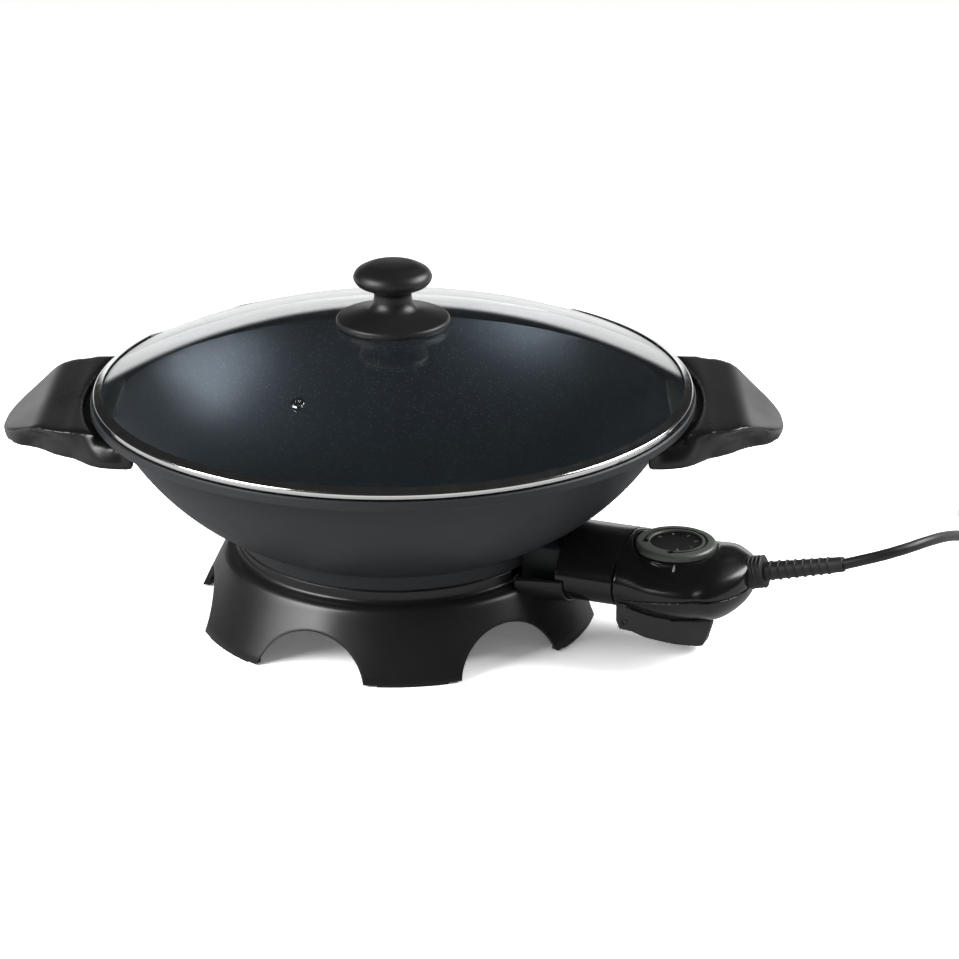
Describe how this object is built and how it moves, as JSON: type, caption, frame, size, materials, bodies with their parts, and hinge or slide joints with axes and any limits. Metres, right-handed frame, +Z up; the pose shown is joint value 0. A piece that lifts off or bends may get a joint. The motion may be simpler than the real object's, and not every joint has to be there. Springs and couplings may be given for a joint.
{
  "type": "electric wok",
  "caption": "Deep round-bottomed electric pan on an arched stand, with side handles, a glass lid with a knob, and a plug-in heat control with a dial, release lever and lead.",
  "frame": {"origin": "on the table under the axis of the pan", "axes": "+X to the right along the handles, +Y away from the front, +Z up; the control points 21 degrees from +X towards the front"},
  "size_m": [0.7095, 0.3661, 0.2202],
  "materials": {
    "nonstick_pan": "cast aluminium with a black non-stick coating, fine speckle inside, matt outside",
    "element_sheath": "oxidised steel sheath",
    "plated_pins": "nickel-plated steel",
    "stand_plastic": "black heat-resistant plastic, satin",
    "shield_steel": "pressed aluminised steel sheet",
    "screw_steel": "zinc-plated steel",
    "foot_rubber": "black rubber",
    "sleeve_plastic": "black heat-resistant plastic, glossy",
    "shell_plastic": "black moulded plastic, glossy",
    "nose_plastic": "black phenolic moulding",
    "contact_brass": "stamped brass",
    "bimetal_strip": "rolled bimetal strip",
    "stack_ceramic": "glazed steatite ceramic",
    "frame_steel": "pressed zinc-plated steel",
    "wire_insulation": "glass-braided silicone insulation",
    "clamp_plastic": "black polyamide moulding",
    "dial_ring_plastic": "dark grey moulded plastic, semi-gloss",
    "dial_face_plastic": "dark grey moulded plastic with printed scale",
    "shaft_plastic": "natural moulded polyamide",
    "lever_plastic": "black moulded plastic, matt",
    "pin_steel": "drawn steel pin",
    "spring_steel": "spring steel wire",
    "collar_rubber": "ribbed black rubber collar",
    "boot_rubber": "moulded black rubber boot",
    "cord_sheath": "black rubber-sheathed mains lead",
    "tie_plastic": "black moulded band",
    "plug_moulding": "black moulded plug",
    "plug_brass": "brass plug pins",
    "handle_plastic": "black heat-resistant plastic, satin",
    "lid_glass": "clear tempered glass",
    "lid_steel": "rolled stainless steel band, polished",
    "vent_steel": "turned stainless steel eyelet",
    "knob_plastic": "black heat-resistant plastic, satin",
    "washer_silicone": "silicone washer"
  },
  "bodies": {
    "wok": {"pan": "nonstick_pan", "heating_element": "element_sheath", "terminal_pins": "plated_pins", "stand": "stand_plastic", "heat_shield": "shield_steel", "stand_screws": "screw_steel", "foot_pads": "foot_rubber", "socket_sleeve": "sleeve_plastic", "socket_screws": "screw_steel", "earth_blade": "contact_brass", "handle_left": "handle_plastic", "handle_right": "handle_plastic", "handle_screws": "screw_steel"},
    "lid": {"lid_glass": "lid_glass", "lid_rim": "lid_steel", "steam_vent": "vent_steel", "knob_flange": "knob_plastic", "lid_knob": "knob_plastic", "knob_washer": "washer_silicone", "knob_screw": "screw_steel"},
    "control": {"control_top": "shell_plastic", "control_bottom": "shell_plastic", "control_screws": "screw_steel", "connector_nose": "nose_plastic", "contact_tubes": "contact_brass", "probe_rod": "plated_pins", "thermostat_frame": "frame_steel", "blade_stack": "stack_ceramic", "bimetal_blade": "bimetal_strip", "contact_blade": "contact_brass", "lead_wires": "wire_insulation", "cord_clamp": "clamp_plastic", "cord_collar": "collar_rubber", "cord_boot": "boot_rubber", "cord": "cord_sheath", "cord_coil": "cord_sheath", "coil_tie": "tie_plastic", "cord_tail": "cord_sheath", "plug_body": "plug_moulding", "plug_pins": "plug_brass", "lever_pin": "pin_steel", "lever_spring": "spring_steel"},
    "dial": {"dial_ring": "dial_ring_plastic", "dial_face": "dial_face_plastic", "dial_shaft": "shaft_plastic"},
    "release_lever": {"release_lever": "lever_plastic"}
  },
  "joints": [
    {"name": "lid_lift", "type": "slide", "parent": "wok", "child": "lid", "axis": [0, 0, 1], "range_m": [0, 0.12]},
    {"name": "control_pull", "type": "slide", "parent": "wok", "child": "control", "axis": [0.9336, -0.3584, 0], "range_m": [0, 0.065]},
    {"name": "dial_turn", "type": "hinge", "parent": "control", "child": "dial", "pos_m": [0.16851, -0.06469, 0.066], "axis": [0, 0, -1], "range_deg": [0, 295]},
    {"name": "lever_press", "type": "hinge", "parent": "control", "child": "release_lever", "pos_m": [0.14797, -0.0568, 0.024], "axis": [-0.3584, -0.9336, 0], "range_deg": [0, 6], "stiffness_Nm_per_rad": 0.15, "springref_deg": -11.46, "deforming": ["lever_spring"]}
  ]
}
